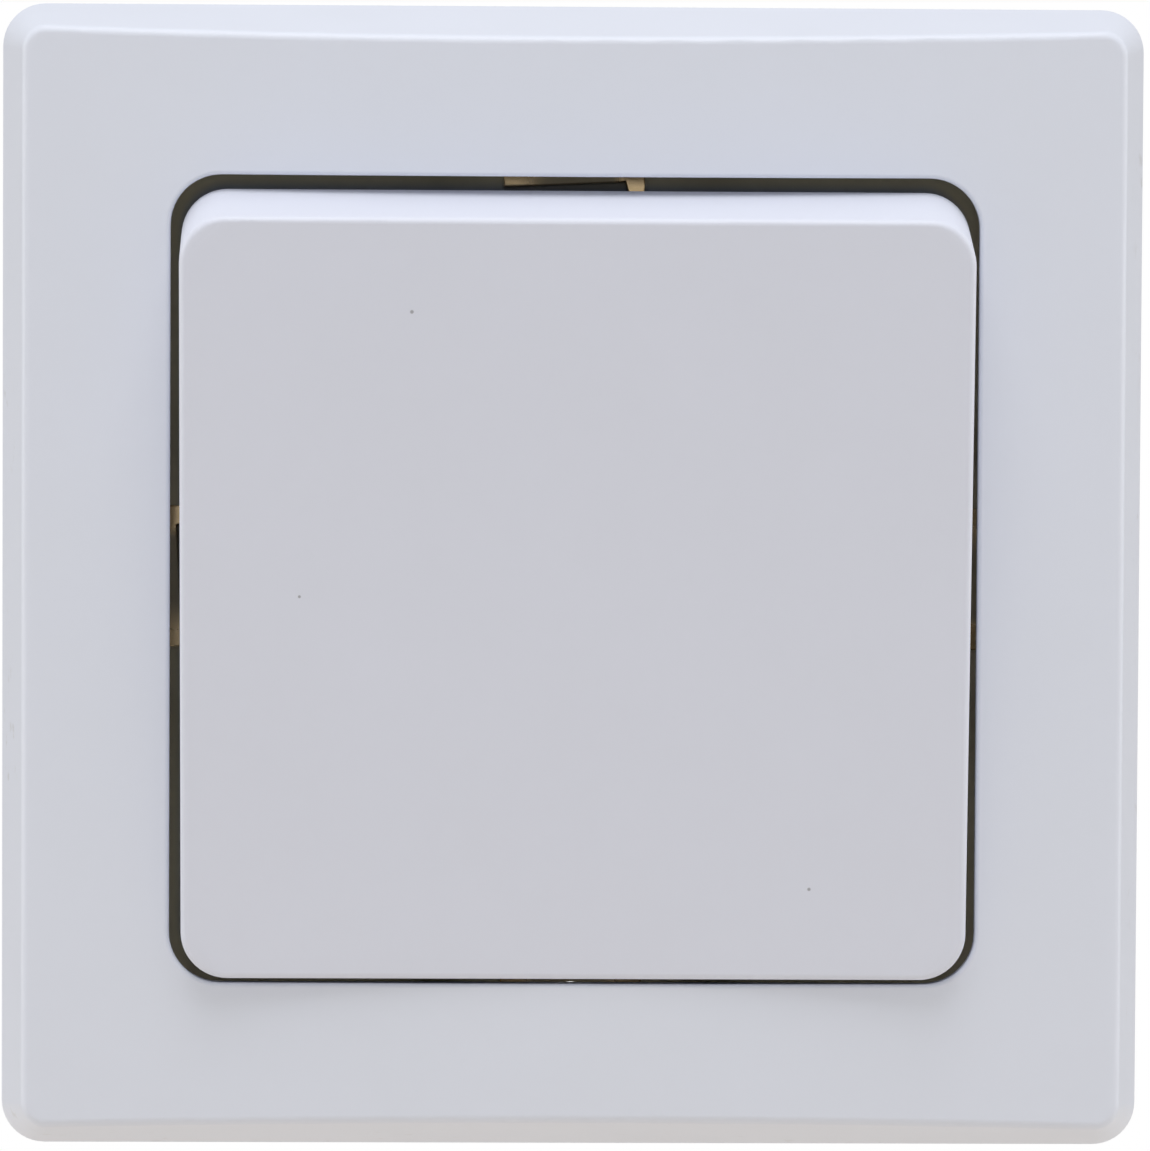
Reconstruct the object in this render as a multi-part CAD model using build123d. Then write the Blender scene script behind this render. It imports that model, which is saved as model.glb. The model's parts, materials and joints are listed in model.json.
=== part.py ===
from build123d import *
from math import atan, cos, degrees, radians, sin, tan
import os

# Flush intermediate switch: cover frame, rocker, mounting plate and the switch insert behind them.
# Sizes are in millimetres and angles in degrees. Each piece is drawn as seen from the front, with x to the
# right, y up and z out of the wall, and the wall at z = 0. save() turns it so that up becomes z.

# Cover frame: a square with drafted edges and a face that arches from left to right
frame_side = 80.0
frame_corner = 3.0
frame_front_corner = 0.8
frame_draft = 16.7
frame_apex = 9.0
frame_sag = 2.6
frame_skin = 1.9
frame_wall = 1.7
frame_round = 0.7
aperture = 55.5
aperture_corner = 3.5
aperture_draft = 4.0
aperture_round = 0.3
collar_foot = 5.0
collar_wall = 1.0

# Rocker: a hollow key whose upper and lower walls lean in more than its sides
rocker_gap_x = 0.55
rocker_gap_y = 0.15
rocker_face = 12.0
rocker_rim_gap = 0.33
rocker_side_draft = 1.5
rocker_end_draft = 10.95
rocker_corner = 3.2
rocker_round = 0.5
rocker_wall = 1.6
rocker_skin = 2.0
rocker_shift = 0.05
rib_thick = 1.2
rib_spacing = 9.0

# The rocker's tilt each way from level
half_travel = 5.5

# Rocking carrier
bed_width = 26.0
bed_height = 15.0
bed_foot = 5.5
bed_thick = 1.5
cheek_thick = 1.7
cheek_width = 6.8
trunnion_radius = 1.75
sleeve_radius = 3.0
sleeve_foot = 8.0
web_thick = 1.4
arm_spacing = 18.0
arm_width = 5.0
arm_thick = 1.2
arm_notch = 0.6
arm_hook = 0.7
hook_height = 1.0

# Plungers and their springs
plunger_spacing = 15.0
plunger_reach = 11.5
plunger_radius = 1.95
plunger_nose = 1.5
plunger_shoulder = 6.7
plunger_guide = 6.0
spring_radius = 1.45
spring_wire = 0.45
spring_turns = 4

# Seesaw contact blades and their tips
blade_width = 6.0
blade_length = 19.2
blade_thick = 0.8
blade_tilt = 7.0
ridge_radius = 0.4
tip_inset = 1.4
tip_radius = 1.5
tip_height = 0.7
tip_bevel = 0.2
contact_gap = 0.05

# Current bars
bar_thick = 0.8
bar_width = 3.0
fulcrum_width = 2.0
riser_gap = 1.9
riser_height = 4.0
crossing_gap = 0.5
crossing_reach = 3.0
crossing_ramp = 1.6
terminal_width = 11.0
terminal_front = 7.0

# Insert base
base_cut = 6.0
base_wall = 1.6
base_floor = 2.0
partition = 1.2
bearing_wall = 2.0
side_pocket = 2.9
terminal_room = 7.1
divider = 2.0
seat_rib = 1.6
catch_width = 4.0
catch_depth = 4.4
catch_height = 1.5
catch_reach = 0.9

# Wire terminals, two entries to each
terminal_x = 8.0
wire_radius = 1.4
wire_pitch = 7.4
clamp_thick = 0.4
clamp_bend = 0.9
clamp_front = 6.0
clamp_root = 1.4
clamp_rise = 8.4
clamp_slot = 1.2
button_width = 2.8
button_height = 3.3
button_proud = 1.0
button_shoulder = 0.6
button_flange = 1.4

# Insert cover
cover_lip = 1.0
cover_thick = 1.5
window_lip = 2.0
cover_leg = 6.0
cover_leg_width = 3.0
cover_leg_thick = 1.3
cover_leg_spacing = 14.0
cover_barb = 0.8
barb_height = 1.4
stop_width = 2.6
stop_thick = 0.9
stop_spacing = 6.6

# Mounting plate
plate_margin = 2.8
plate_thick = 1.2
plate_corner = 4.0
box_slot_spacing = 61.2
box_slot_width = 3.4
box_slot_length = 4.4
ear_spacing = 19.0
ear_width = 4.0
ear_margin = 1.25
ear_thick = 1.0
ear_gap = 0.3
ear_window = 2.4
ear_window_height = 1.2
lug_width = 8.0
lug_length = 7.0
pad_width = 9.9
pad_height = 0.3
pad_inset = 0.45
pad_taper = 0.4
toe_width = 1.4
toe_reach = 1.0
toe_lean = 0.4

# Latch fingers behind the frame's face, which snap into the plate's ears
finger_width = 3.6
finger_thick = 1.1
finger_foot = 2.0
nub_reach = 0.7

# Spreading claws
claw_width = 7.2
claw_thick = 1.0
claw_length = 17.0
claw_tooth = 2.0
claw_slot = 3.8
claw_slot_length = 10.0
bead_radius = 0.7
bead_overhang = 1.2
screw_radius = 1.5
screw_length = 18.5
screw_head_radius = 2.8
screw_head_height = 2.0
screw_head_bevel = 0.6
screw_slot = 0.8
nut_side = 5.5
nut_height = 2.4
nut_margin = 2.1
cradle_depth = 2.2

# Clearances
spare = 2.0          # how far a cut runs past the surface that it opens
running_gap = 0.05   # turning and sliding fits
seat_gap = 0.1       # pieces that are laid or snapped together
swing_gap = 0.4      # beside a piece that swings

# Places that follow from the sizes above
frame_half_front = frame_side / 2 - (frame_apex - frame_sag) * tan(radians(frame_draft))
arch_radius = (frame_half_front ** 2 + frame_sag ** 2) / (2 * frame_sag)
pivot_depth = trunnion_radius + running_gap
rocker_swing = (aperture / 2 - rocker_gap_y) * sin(radians(half_travel))
rocker_low = plate_thick + pad_height + rocker_rim_gap + pivot_depth
rocker_rim = (rocker_low + rocker_swing) / cos(radians(half_travel)) - pivot_depth
rocker_ceiling = rocker_face - rocker_skin
bed_front = bed_foot + bed_thick
sleeve_bore = plunger_radius + running_gap
sleeve_roof = bed_foot - bed_thick
plunger_x = plunger_spacing / 2
plunger_top = plunger_shoulder - plunger_guide + pivot_depth
blade_top = -pivot_depth - plunger_reach - running_gap
blade_foot = blade_top - blade_thick
fulcrum = blade_foot - running_gap - ridge_radius
tip_spacing = blade_length - 2 * tip_inset
tip_drop = (tip_spacing / 2 + tip_radius) * sin(radians(blade_tilt))
tip_lift = (ridge_radius + running_gap - tip_height) * cos(radians(blade_tilt))
fixed_tip_top = fulcrum - tip_drop + tip_lift - contact_gap
link_top = fixed_tip_top - tip_height
link_foot = link_top - bar_thick
crossing_top = link_foot - crossing_gap
floor_top = crossing_top - bar_thick - seat_gap
base_rear = floor_top - base_floor
riser_in = plunger_x + blade_width / 2 + riser_gap
chamber_x = riser_in + bar_thick + seat_gap
chamber_y = blade_length / 2 + 2 * swing_gap
base_x = chamber_x + bearing_wall + side_pocket + base_wall
base_y = chamber_y + partition + terminal_room + base_wall
cheek_out = chamber_x - swing_gap
trunnion_end = chamber_x + bearing_wall + swing_gap
terminal_in = chamber_y + partition + seat_gap
terminal_out = terminal_in + bar_thick
wire_y = terminal_out + seat_gap + wire_radius
window_x = base_x - window_lip
window_y = base_y - window_lip
opening_x = cheek_out + swing_gap / 2
opening_y = bed_height / 2 + swing_gap / 2
plate_side = frame_side - 2 * (frame_wall + plate_margin)
ear_place = aperture / 2 + ear_margin
ear_back = ear_place + ear_thick
ear_roof = frame_apex - arch_radius + ((arch_radius - frame_skin) ** 2 - ear_back ** 2) ** 0.5
ear_top = min(collar_foot, ear_roof) - ear_gap
nut_depth = screw_length - nut_height - nut_margin
claw_x = base_x + nut_side / 2 + seat_gap
claw_pivot_x = claw_x - bead_radius / 2
claw_pivot_z = -bead_radius - running_gap
claw_run = nut_depth + claw_pivot_z
claw_lean = degrees(atan((claw_x + nut_side / 2 + claw_thick / 2 + seat_gap - claw_pivot_x) / claw_run))
back_y = base_y - base_wall - seat_gap - clamp_thick / 2
corner_x = base_x + base_y - base_cut - base_wall * 2 ** 0.5 - (back_y + clamp_thick / 2)
clamp_half = corner_x - seat_gap - terminal_x
leg_y = terminal_out + swing_gap
leg_foot = floor_top + clamp_root
leg_slope = clamp_rise / (back_y - leg_y)


def block(x0, x1, y0, y1, z0, z1):
    """A plain block between two limits along each axis."""
    return Pos(x0, y0, z0) * Box(x1 - x0, y1 - y0, z1 - z0, align=Align.MIN)


def prism(outline, low, high):
    """An outline seen from the front, as a solid between two heights above the wall."""
    return extrude(Pos(0, 0, low) * outline, high - low)


def across(section, x0, x1):
    """A section drawn in y and z, as a solid between two places along x."""
    return extrude(Plane.YZ.offset(x0) * section, x1 - x0)


def bent(points, bend, thick):
    """The section of a sheet bent along these points."""
    return trace(FilletPolyline(*points, radius=bend), thick)


def turned(shape, height, angle):
    """A shape turned about the x-parallel line at this height."""
    return Pos(0, 0, height) * Rot(angle, 0, 0) * Pos(0, 0, -height) * shape


def quarters(shape):
    """Four copies of a shape, one facing each side of the square."""
    return [Rot(0, 0, 90 * turn) * shape for turn in range(4)]


def arched_block(inset, radius):
    """The frame's drafted block, inset by a wall and cut off by a cylinder about the arch's axis."""
    height = frame_apex + spare
    side = frame_side - 2 * inset
    front_side = side - 2 * height * tan(radians(frame_draft))
    foot = RectangleRounded(side, side, frame_corner - inset)
    front = Pos(0, 0, height) * RectangleRounded(front_side, front_side, frame_front_corner)
    arch = Pos(0, 0, frame_apex - arch_radius) * Rot(90, 0, 0) * Cylinder(radius, 2 * frame_side)
    return loft([foot, front], ruled=True) & arch


def aperture_block(low, high, grow):
    """The aperture's outline as a block that widens towards the wall, grown by a wall thickness."""
    sections = []
    for height in (low, high):
        side = aperture + 2 * (frame_apex - height) * tan(radians(aperture_draft)) + 2 * grow
        sections.append(Pos(0, 0, height) * RectangleRounded(side, side, aperture_corner + grow))
    return loft(sections, ruled=True)


def latch_fingers():
    """Fingers behind the frame's face, two to a side, each with a nub for the window of its ear."""
    fingers = []
    inner = ear_back + seat_gap
    nub_low = (plate_thick + ear_top - ear_window_height) / 2 + seat_gap
    nub_high = nub_low + ear_window_height - 2 * seat_gap
    nub_half = ear_window / 2 - seat_gap
    for place in (-ear_spacing / 2, ear_spacing / 2):
        edge = place - finger_width / 2
        stem = block(edge, edge + finger_width, inner, inner + finger_thick, finger_foot, frame_apex)
        nub = block(place - nub_half, place + nub_half, inner - nub_reach, inner, nub_low, nub_high)
        fingers += quarters(stem + nub)
    return Part() + fingers


def make_cover_frame():
    """One-gang frame: hollow behind, with a collar round its aperture."""
    shell = arched_block(0, arch_radius)
    face = shell.faces().filter_by(GeomType.CYLINDER).sort_by(SortBy.AREA)[-1]
    shell = fillet(face.edges(), frame_round)
    shell -= arched_block(frame_wall, arch_radius - frame_skin)
    collar = aperture_block(collar_foot, frame_apex, collar_wall)
    behind = (collar + latch_fingers()) & arched_block(frame_wall / 2, arch_radius - frame_skin / 2)
    frame = shell + behind - aperture_block(-spare, frame_apex + spare, 0)
    face = frame.faces().filter_by(GeomType.CYLINDER).sort_by(SortBy.AREA)[-1]
    return fillet(face.inner_wires()[0].edges(), aperture_round)


def rocker_block(inset, high):
    """The rocker's drafted block from its rim up to a height, inset by a wall."""
    sections = []
    for height in (rocker_rim, high):
        rise = height - rocker_rim
        half_x = aperture / 2 - rocker_gap_x - rise * tan(radians(rocker_side_draft)) - inset
        half_y = aperture / 2 - rocker_gap_y - rise * tan(radians(rocker_end_draft)) - inset
        sections.append(Pos(0, 0, height) * RectangleRounded(2 * half_x, 2 * half_y, rocker_corner - inset))
    return loft(sections, ruled=True)


def snap_arm():
    """One arm that reaches down from the rocker's ceiling and hooks under the upper edge of the bed."""
    inner = bed_height / 2 - arm_notch + seat_gap
    low = bed_foot - seat_gap - hook_height
    hook_top = bed_foot - seat_gap
    outline = Polyline(
        (inner + arm_thick, rocker_ceiling),
        (inner + arm_thick, low),
        (inner, low),
        (inner - arm_hook, hook_top),
        (inner, hook_top),
        (inner, rocker_ceiling),
        close=True,
    )
    return across(make_face(outline), -arm_width / 2, arm_width / 2)


def make_rocker():
    """Hollow rocker with ribs that sit on the carrier's bed and arms that clip under it."""
    shell = rocker_block(0, rocker_face)
    shell = fillet(shell.faces().sort_by(Axis.Z)[-1].edges(), rocker_round)
    shell -= rocker_block(rocker_wall, rocker_ceiling)
    for x in (-arm_spacing / 2, arm_spacing / 2):
        for turn in (0, 180):
            shell += Rot(0, 0, turn) * Pos(x, 0, 0) * snap_arm()
    half = bed_height / 2 - arm_notch
    for x in (-rib_spacing / 2, rib_spacing / 2):
        shell += block(x - rib_thick / 2, x + rib_thick / 2, -half, half, bed_front, rocker_ceiling)
    return Pos(rocker_shift, 0, 0) * shell


def carrier_cheek():
    """The right-hand cheek with its trunnion, rounded about the rocking axis."""
    half = cheek_width / 2
    plate = across(Pos(0, -pivot_depth) * Circle(half), cheek_out - cheek_thick, cheek_out)
    plate += block(cheek_out - cheek_thick, cheek_out, -half, half, -pivot_depth, bed_foot)
    return plate + across(Pos(0, -pivot_depth) * Circle(trunnion_radius), cheek_out, trunnion_end)


def make_rocker_carrier():
    """Rocking carrier: a bed for the rocker, cheeks with trunnions and two plunger sleeves."""
    bed = Rectangle(bed_width, bed_height)
    for x in (-arm_spacing / 2, arm_spacing / 2):
        for y in (-bed_height / 2, bed_height / 2):
            bed -= Pos(x, y) * Rectangle(arm_width + 2 * (rocker_shift + seat_gap), 2 * arm_notch)
    carrier = prism(bed, bed_foot, bed_front)
    carrier += carrier_cheek()
    carrier += Rot(0, 0, 180) * carrier_cheek()
    inside = cheek_out - cheek_thick
    carrier += block(-inside, inside, -web_thick / 2, web_thick / 2, -pivot_depth - web_thick, bed_foot)
    for x in (-plunger_x, plunger_x):
        carrier += Pos(x, 0, 0) * prism(Circle(sleeve_radius), -sleeve_foot, bed_foot)
    for x in (-plunger_x, plunger_x):
        carrier -= Pos(x, 0, 0) * prism(Circle(sleeve_bore), -sleeve_foot - spare, sleeve_roof)
    return carrier


def make_plunger():
    """Round-nosed plunger, guided in its sleeve by its thicker end."""
    nose = -pivot_depth - plunger_reach + plunger_nose
    shoulder = -pivot_depth - plunger_shoulder
    outline = Polyline((plunger_nose, nose), (plunger_nose, shoulder), (plunger_radius, shoulder))
    outline += Polyline((plunger_radius, shoulder), (plunger_radius, -plunger_top), (0, -plunger_top))
    outline += Line((0, -plunger_top), (0, nose - plunger_nose))
    outline += RadiusArc((0, nose - plunger_nose), (plunger_nose, nose), -plunger_nose)
    return revolve(Plane.XZ * make_face(outline), Axis.Z)


def make_plunger_spring():
    """Compression spring between the sleeve's roof and the plunger, of square wire."""
    foot = -plunger_top + spring_wire
    height = sleeve_roof - spring_wire - foot
    path = Helix(pitch=height / spring_turns, height=height, radius=spring_radius)
    section = Plane(origin=path @ 0, x_dir=(1, 0, 0), z_dir=path % 0) * Rectangle(spring_wire, spring_wire)
    return Pos(0, 0, foot) * sweep(section, path=path, is_frenet=True)


def make_contact_blade():
    """Level seesaw blade, narrowed between its middle and its contact ends."""
    outline = RectangleRounded(blade_width, blade_length, tip_radius)
    for x in (-blade_width / 2, blade_width / 2):
        for y in (-tip_spacing / 4, tip_spacing / 4):
            outline -= Pos(x, y) * Circle(blade_thick)
    return prism(outline, blade_foot, blade_top)


def contact_tip(foot, top):
    """A contact rivet's head, bevelled round the face that meets the other rivet."""
    tip = prism(Circle(tip_radius), foot, top)
    rims = tip.edges().filter_by(GeomType.CIRCLE)
    return chamfer(rims.sort_by_distance((0, 0, top))[0], tip_bevel)


def make_blade_tips():
    """The two contact rivets under a level blade's ends."""
    tip = contact_tip(blade_foot, blade_foot - tip_height)
    return [Pos(0, y, 0) * tip for y in (-tip_spacing / 2, tip_spacing / 2)]


def terminal_plate(side):
    """The upright plate that wires are clamped against, in a pocket above the chamber."""
    edge = terminal_x - terminal_width / 2
    plate = block(edge, edge + terminal_width, terminal_in, terminal_out, link_foot, -terminal_front)
    return plate if side > 0 else mirror(plate, Plane.YZ)


def make_fulcrum_bar(side):
    """Input bar on one side: a ridge for the blade, a riser along the chamber wall and a terminal plate."""
    half = fulcrum_width / 2
    start = plunger_x - blade_width / 2
    riser_out = riser_in + bar_thick
    low = fulcrum - bar_thick
    bar = block(start, riser_out, -half, half, low, fulcrum)
    bar += across(Pos(0, fulcrum) * Circle(ridge_radius), start, riser_in)
    bar += block(riser_in, riser_out, -half, terminal_out, low, low + riser_height)
    bar = bar if side > 0 else mirror(bar, Plane.YZ)
    return bar + terminal_plate(side)


def link_tail(side):
    """The foot of an output bar, from its lower contact to the plate in the pocket below."""
    x = side * plunger_x
    half = bar_width / 2
    foot = block(x - half, x + half, -terminal_out, -tip_spacing / 2, link_foot, link_top)
    return foot + mirror(terminal_plate(side), Plane.XZ)


def make_link_bar(side, drop):
    """Output bar: a diagonal from the far upper contact to the near lower one, level or with a drop."""
    reach = Vector(plunger_x, tip_spacing / 2).length
    middle = (link_top + link_foot) / 2
    points = [(-reach, middle), (reach, middle)]
    section = trace(Polyline(*points), bar_thick)
    if drop:
        inner = crossing_reach
        outer = crossing_reach + crossing_ramp
        low = middle - drop
        points[1:1] = [(-outer, middle), (-inner, low), (inner, low), (outer, middle)]
        section = bent(points, bar_thick, bar_thick)
    turn = degrees(atan(tip_spacing / 2 / plunger_x))
    diagonal = Rot(0, 0, -side * turn) * extrude(Plane.XZ * section, bar_width / 2, both=True)
    end = prism(Circle(bar_width / 2), link_foot, link_top)
    for way in (-1, 1):
        diagonal += Pos(way * side * plunger_x, -way * tip_spacing / 2, 0) * end
    return diagonal + link_tail(side)


def make_fixed_tips(side):
    """The two contact rivets on an output bar."""
    tip = contact_tip(link_top, fixed_tip_top)
    return [Pos(way * side * plunger_x, -way * tip_spacing / 2, 0) * tip for way in (-1, 1)]


def base_outline():
    """The insert's outline: a rectangle with its corners cut off."""
    outline = Rectangle(2 * base_x, 2 * base_y)
    return chamfer(outline.vertices(), base_cut)


def base_cavities():
    """Chamber, side pockets and terminal pockets, left between the base's walls."""
    rooms = offset(base_outline(), -base_wall, kind=Kind.INTERSECTION)
    pocket_y = chamber_y + partition
    for way in (-1, 1):
        rooms -= Pos(0, way * (chamber_y + partition / 2)) * Rectangle(2 * base_x, partition)
        rooms -= Pos(0, way * (pocket_y + base_y) / 2) * Rectangle(divider, base_y - pocket_y)
        rooms -= Pos(way * (chamber_x + bearing_wall / 2), 0) * Rectangle(bearing_wall, 2 * chamber_y)
    return rooms


def bar_passages():
    """Slots through the partitions for the bars: risers above, output bars below."""
    cuts = []
    low = floor_top
    inner = chamber_y - seat_gap
    outer = terminal_in
    bar_half = bar_width / 2 + seat_gap
    for way in (-1, 1):
        middle = way * (riser_in + chamber_x - seat_gap) / 2
        riser_half = (chamber_x - riser_in + seat_gap) / 2
        cuts.append(block(middle - riser_half, middle + riser_half, inner, outer, low, spare))
        middle = way * plunger_x
        cuts.append(block(middle - bar_half, middle + bar_half, -outer, -inner, low, spare))
    return cuts


def terminal_holes():
    """Two wire entries and a button hole through the rear wall, for the terminal at upper right."""
    button = Rectangle(button_width + 2 * running_gap, button_height + 2 * running_gap)
    holes = [Pos(terminal_x, button_y()) * button]
    for x in (terminal_x - wire_pitch / 2, terminal_x + wire_pitch / 2):
        holes.append(Pos(x, wire_y) * Circle(wire_radius))
    return Sketch() + holes


def each_terminal(shape):
    """A shape of the terminal at upper right, for all four in turn, anticlockwise from there."""
    upper_left = mirror(shape, Plane.YZ)
    lower_left = mirror(upper_left, Plane.XZ)
    lower_right = mirror(shape, Plane.XZ)
    return [shape, upper_left, lower_left, lower_right]


def claw_cradles():
    """Ledges on the right-hand wall that carry the rolled ends of a claw."""
    ledges = []
    outer = claw_pivot_x + bead_radius + running_gap
    for way in (-1, 1):
        middle = way * (claw_width / 2 + seat_gap + bead_overhang / 2)
        half = bead_overhang / 2
        ledge = block(base_x, outer, middle - half, middle + half, -cradle_depth, claw_pivot_z)
        ledges.append(ledge)
    groove = Rot(90, 0, 0) * Cylinder(bead_radius + running_gap, 2 * claw_width)
    return Part() + ledges - Pos(claw_pivot_x, 0, claw_pivot_z) * groove


def base_catch():
    """A wedge on the upper wall for the window of the plate's lug."""
    low = -catch_depth - catch_height / 2
    high = -catch_depth + catch_height / 2
    outline = Polyline((base_y, low), (base_y + catch_reach, high), (base_y, high), close=True)
    return across(make_face(outline), -catch_width / 2, catch_width / 2)


def bearing_slots():
    """Round-bottomed slots in the two bearing walls, open to the front for the trunnions."""
    bearing = trunnion_radius + running_gap
    slot = Pos(0, -pivot_depth) * Circle(bearing)
    slot += Pos(0, spare / 2) * Rectangle(2 * bearing, 2 * pivot_depth + spare)
    cut = across(slot, chamber_x - seat_gap, chamber_x + bearing_wall + seat_gap)
    return [cut, mirror(cut, Plane.YZ)]


def barb_windows():
    """Windows in the base's side walls for the barbs of the cover's snap legs."""
    cuts = []
    low = -cover_leg - seat_gap
    high = -cover_leg + barb_height + 2 * seat_gap
    inner = base_x - base_wall - seat_gap
    half = cover_leg_width / 2 + seat_gap
    for y in (-cover_leg_spacing / 2, cover_leg_spacing / 2):
        cut = block(inner, base_x + spare, y - half, y + half, low, high)
        cuts += [cut, mirror(cut, Plane.YZ)]
    return cuts


def make_insert_base():
    """Moulded tub with its bearing slots, bar seats, terminal pockets, wire entries and claw ledges."""
    base = prism(base_outline(), base_rear, 0) - prism(base_cavities(), floor_top, spare)
    base -= bar_passages()
    for holes in each_terminal(terminal_holes()):
        base -= prism(holes, base_rear - spare, floor_top + spare)
    base -= bearing_slots()
    base -= barb_windows()
    seat_top = fulcrum - bar_thick
    for way in (-1, 1):
        middle = way * (plunger_x + seat_gap)
        half = blade_width / 2
        base += block(middle - half, middle + half, -seat_rib / 2, seat_rib / 2, floor_top, seat_top)
        for y in (-tip_spacing / 2, tip_spacing / 2):
            base += Pos(way * plunger_x, y, 0) * prism(Circle(tip_radius), floor_top, link_foot)
        base += Rot(0, 0, 90 - 90 * way) * claw_cradles()
        base += Rot(0, 0, 90 - 90 * way) * base_catch()
    return base


def clamp_section():
    """A clamp spring's bent section: its back on the outer wall, its leg slanting to the terminal plate."""
    points = [(back_y, -clamp_front), (back_y, leg_foot), (leg_y, leg_foot + clamp_rise)]
    return bent(points, clamp_bend, clamp_thick)


def make_clamp_spring():
    """Bent clamp spring at upper right, its leg split in two for the two wires."""
    spring = across(clamp_section(), terminal_x - clamp_half, terminal_x + clamp_half)
    middle = (back_y + leg_y) / 2 - clamp_thick
    cut_low = leg_foot + clamp_rise / 2
    edge = terminal_x - clamp_slot / 2
    return spring - block(edge, edge + clamp_slot, terminal_in, middle, cut_low, 0)


def button_y():
    """The middle of a release button, beside the wire entries."""
    return wire_y + (button_height - wire_radius) / 2


def make_release_button():
    """Release button at upper right: a stem through the rear wall, with a nose under the clamp's leg."""
    outer = button_y() + button_height / 2
    inner = button_y() - button_height / 2
    nose = (outer + inner) / 2
    slack = swing_gap + clamp_thick / 2 * (1 + leg_slope ** 2) ** 0.5
    nose_top = leg_foot + (back_y - nose) * leg_slope - slack
    side_top = leg_foot + (back_y - outer) * leg_slope - slack
    rear = base_rear - button_proud
    points = [(inner, rear), (outer, rear), (outer, side_top), (nose, nose_top), (inner, nose_top)]
    half = button_width / 2
    stem = across(make_face(Polyline(*points, close=True)), terminal_x - half, terminal_x + half)
    half += button_shoulder
    flange_low = floor_top + running_gap
    flange_high = floor_top + button_flange
    return stem + block(terminal_x - half, terminal_x + half, inner, outer, flange_low, flange_high)


def cover_leg_outline():
    """The section of a snap leg in x and z, with its barb turned outwards."""
    outer = window_x - seat_gap
    inner = outer - cover_leg_thick
    barb = base_x - base_wall + cover_barb
    low = -cover_leg
    high = low + barb_height
    points = [(inner, seat_gap), (inner, low), (outer, low), (barb, high), (outer, high), (outer, seat_gap)]
    return make_face(Polyline(*points, close=True))


def make_insert_cover():
    """Front cover: a plug in the plate's window, a lip over its rim, snap legs and carrier stops."""
    plug_x = 2 * (window_x - seat_gap)
    plug_y = 2 * (window_y - seat_gap)
    lip_x = plug_x + 2 * cover_lip
    lip_y = plug_y + 2 * cover_lip
    lip_low = plate_thick + running_gap
    lip_high = lip_low + cover_thick
    cover = prism(RectangleRounded(plug_x, plug_y, plate_thick), running_gap, lip_low)
    lip = prism(RectangleRounded(lip_x, lip_y, 2 * cover_lip), lip_low, lip_high)
    cover += chamfer(lip.faces().sort_by(Axis.Z)[-1].edges(), cover_lip / 2)
    for y in (-cover_leg_spacing / 2, cover_leg_spacing / 2):
        leg = Pos(0, y, 0) * extrude(Plane.XZ * cover_leg_outline(), cover_leg_width / 2, both=True)
        cover += [leg, mirror(leg, Plane.YZ)]
    cover -= prism(Rectangle(2 * opening_x, 2 * opening_y), -spare, lip_high + spare)
    edge_y = bed_height / 2
    drop = edge_y * sin(radians(half_travel))
    stop_top = (bed_foot + pivot_depth) * cos(radians(half_travel)) - drop - pivot_depth - running_gap
    for x in (-stop_spacing / 2, stop_spacing / 2):
        for y in (-opening_y - stop_thick / 2, opening_y + stop_thick / 2):
            cover += Pos(x, y, 0) * prism(Rectangle(stop_width, stop_thick), lip_low, stop_top)
    return cover


def plate_ears():
    """Upright ears on the plate, two to a side, each with a window for the frame's latch finger."""
    ears = []
    window_low = (plate_thick + ear_top - ear_window_height) / 2
    for place in (-ear_spacing / 2, ear_spacing / 2):
        edge = place - ear_width / 2
        ear = block(edge, edge + ear_width, ear_place, ear_back, 0, ear_top)
        edge = place - ear_window / 2
        window_high = window_low + ear_window_height
        ear -= block(edge, edge + ear_window, ear_place - spare, ear_place + spare, window_low, window_high)
        ears += quarters(ear)
    return ears


def spring_pad():
    """A raised pad in the middle of the plate's upper side, with a tapered inner edge and a toe."""
    half = pad_width / 2
    edge = aperture / 2 - pad_inset
    outline = Polyline(
        (-half, ear_place),
        (-half, edge),
        (half - toe_width, edge + pad_taper),
        (half - toe_width + toe_lean, edge - toe_reach),
        (half, edge - toe_reach),
        (half, ear_place),
        close=True,
    )
    return prism(make_face(outline), 0, plate_thick + pad_height)


def plate_lug():
    """A lug bent back from the plate's window along the base's upper wall, with a window for its catch."""
    inner = base_y + seat_gap
    half = lug_width / 2
    lug = block(-half, half, inner, inner + plate_thick, -lug_length, plate_thick)
    half = catch_width / 2 + seat_gap
    low = -catch_depth - catch_height / 2 - seat_gap
    high = -catch_depth + catch_height / 2 + seat_gap
    return lug - block(-half, half, inner - spare, inner + spare, low, high)


def make_mounting_plate():
    """Sheet-steel plate with box-screw slots, claw-screw holes, latch ears, raised pads and base lugs."""
    outline = RectangleRounded(plate_side, plate_side, plate_corner)
    outline -= Rectangle(2 * window_x, 2 * window_y)
    outline -= Rectangle(lug_width + 2 * seat_gap, 2 * (base_y + seat_gap))
    for x in (-claw_x, claw_x):
        outline -= Pos(x, 0) * Circle(screw_radius + seat_gap)
    plate = prism(outline, 0, plate_thick) + quarters(spring_pad())
    head_room = prism(Circle(screw_head_radius + seat_gap), plate_thick, plate_thick + spare)
    plate -= [Pos(x, 0) * head_room for x in (-claw_x, claw_x)]
    slot = Pos(0, box_slot_spacing / 2) * Rot(0, 0, 90) * SlotOverall(box_slot_length, box_slot_width)
    plate -= quarters(prism(slot, -spare, plate_thick + spare))
    lugs = [plate_lug(), Rot(0, 0, 180) * plate_lug()]
    return plate + lugs + plate_ears()


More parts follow.
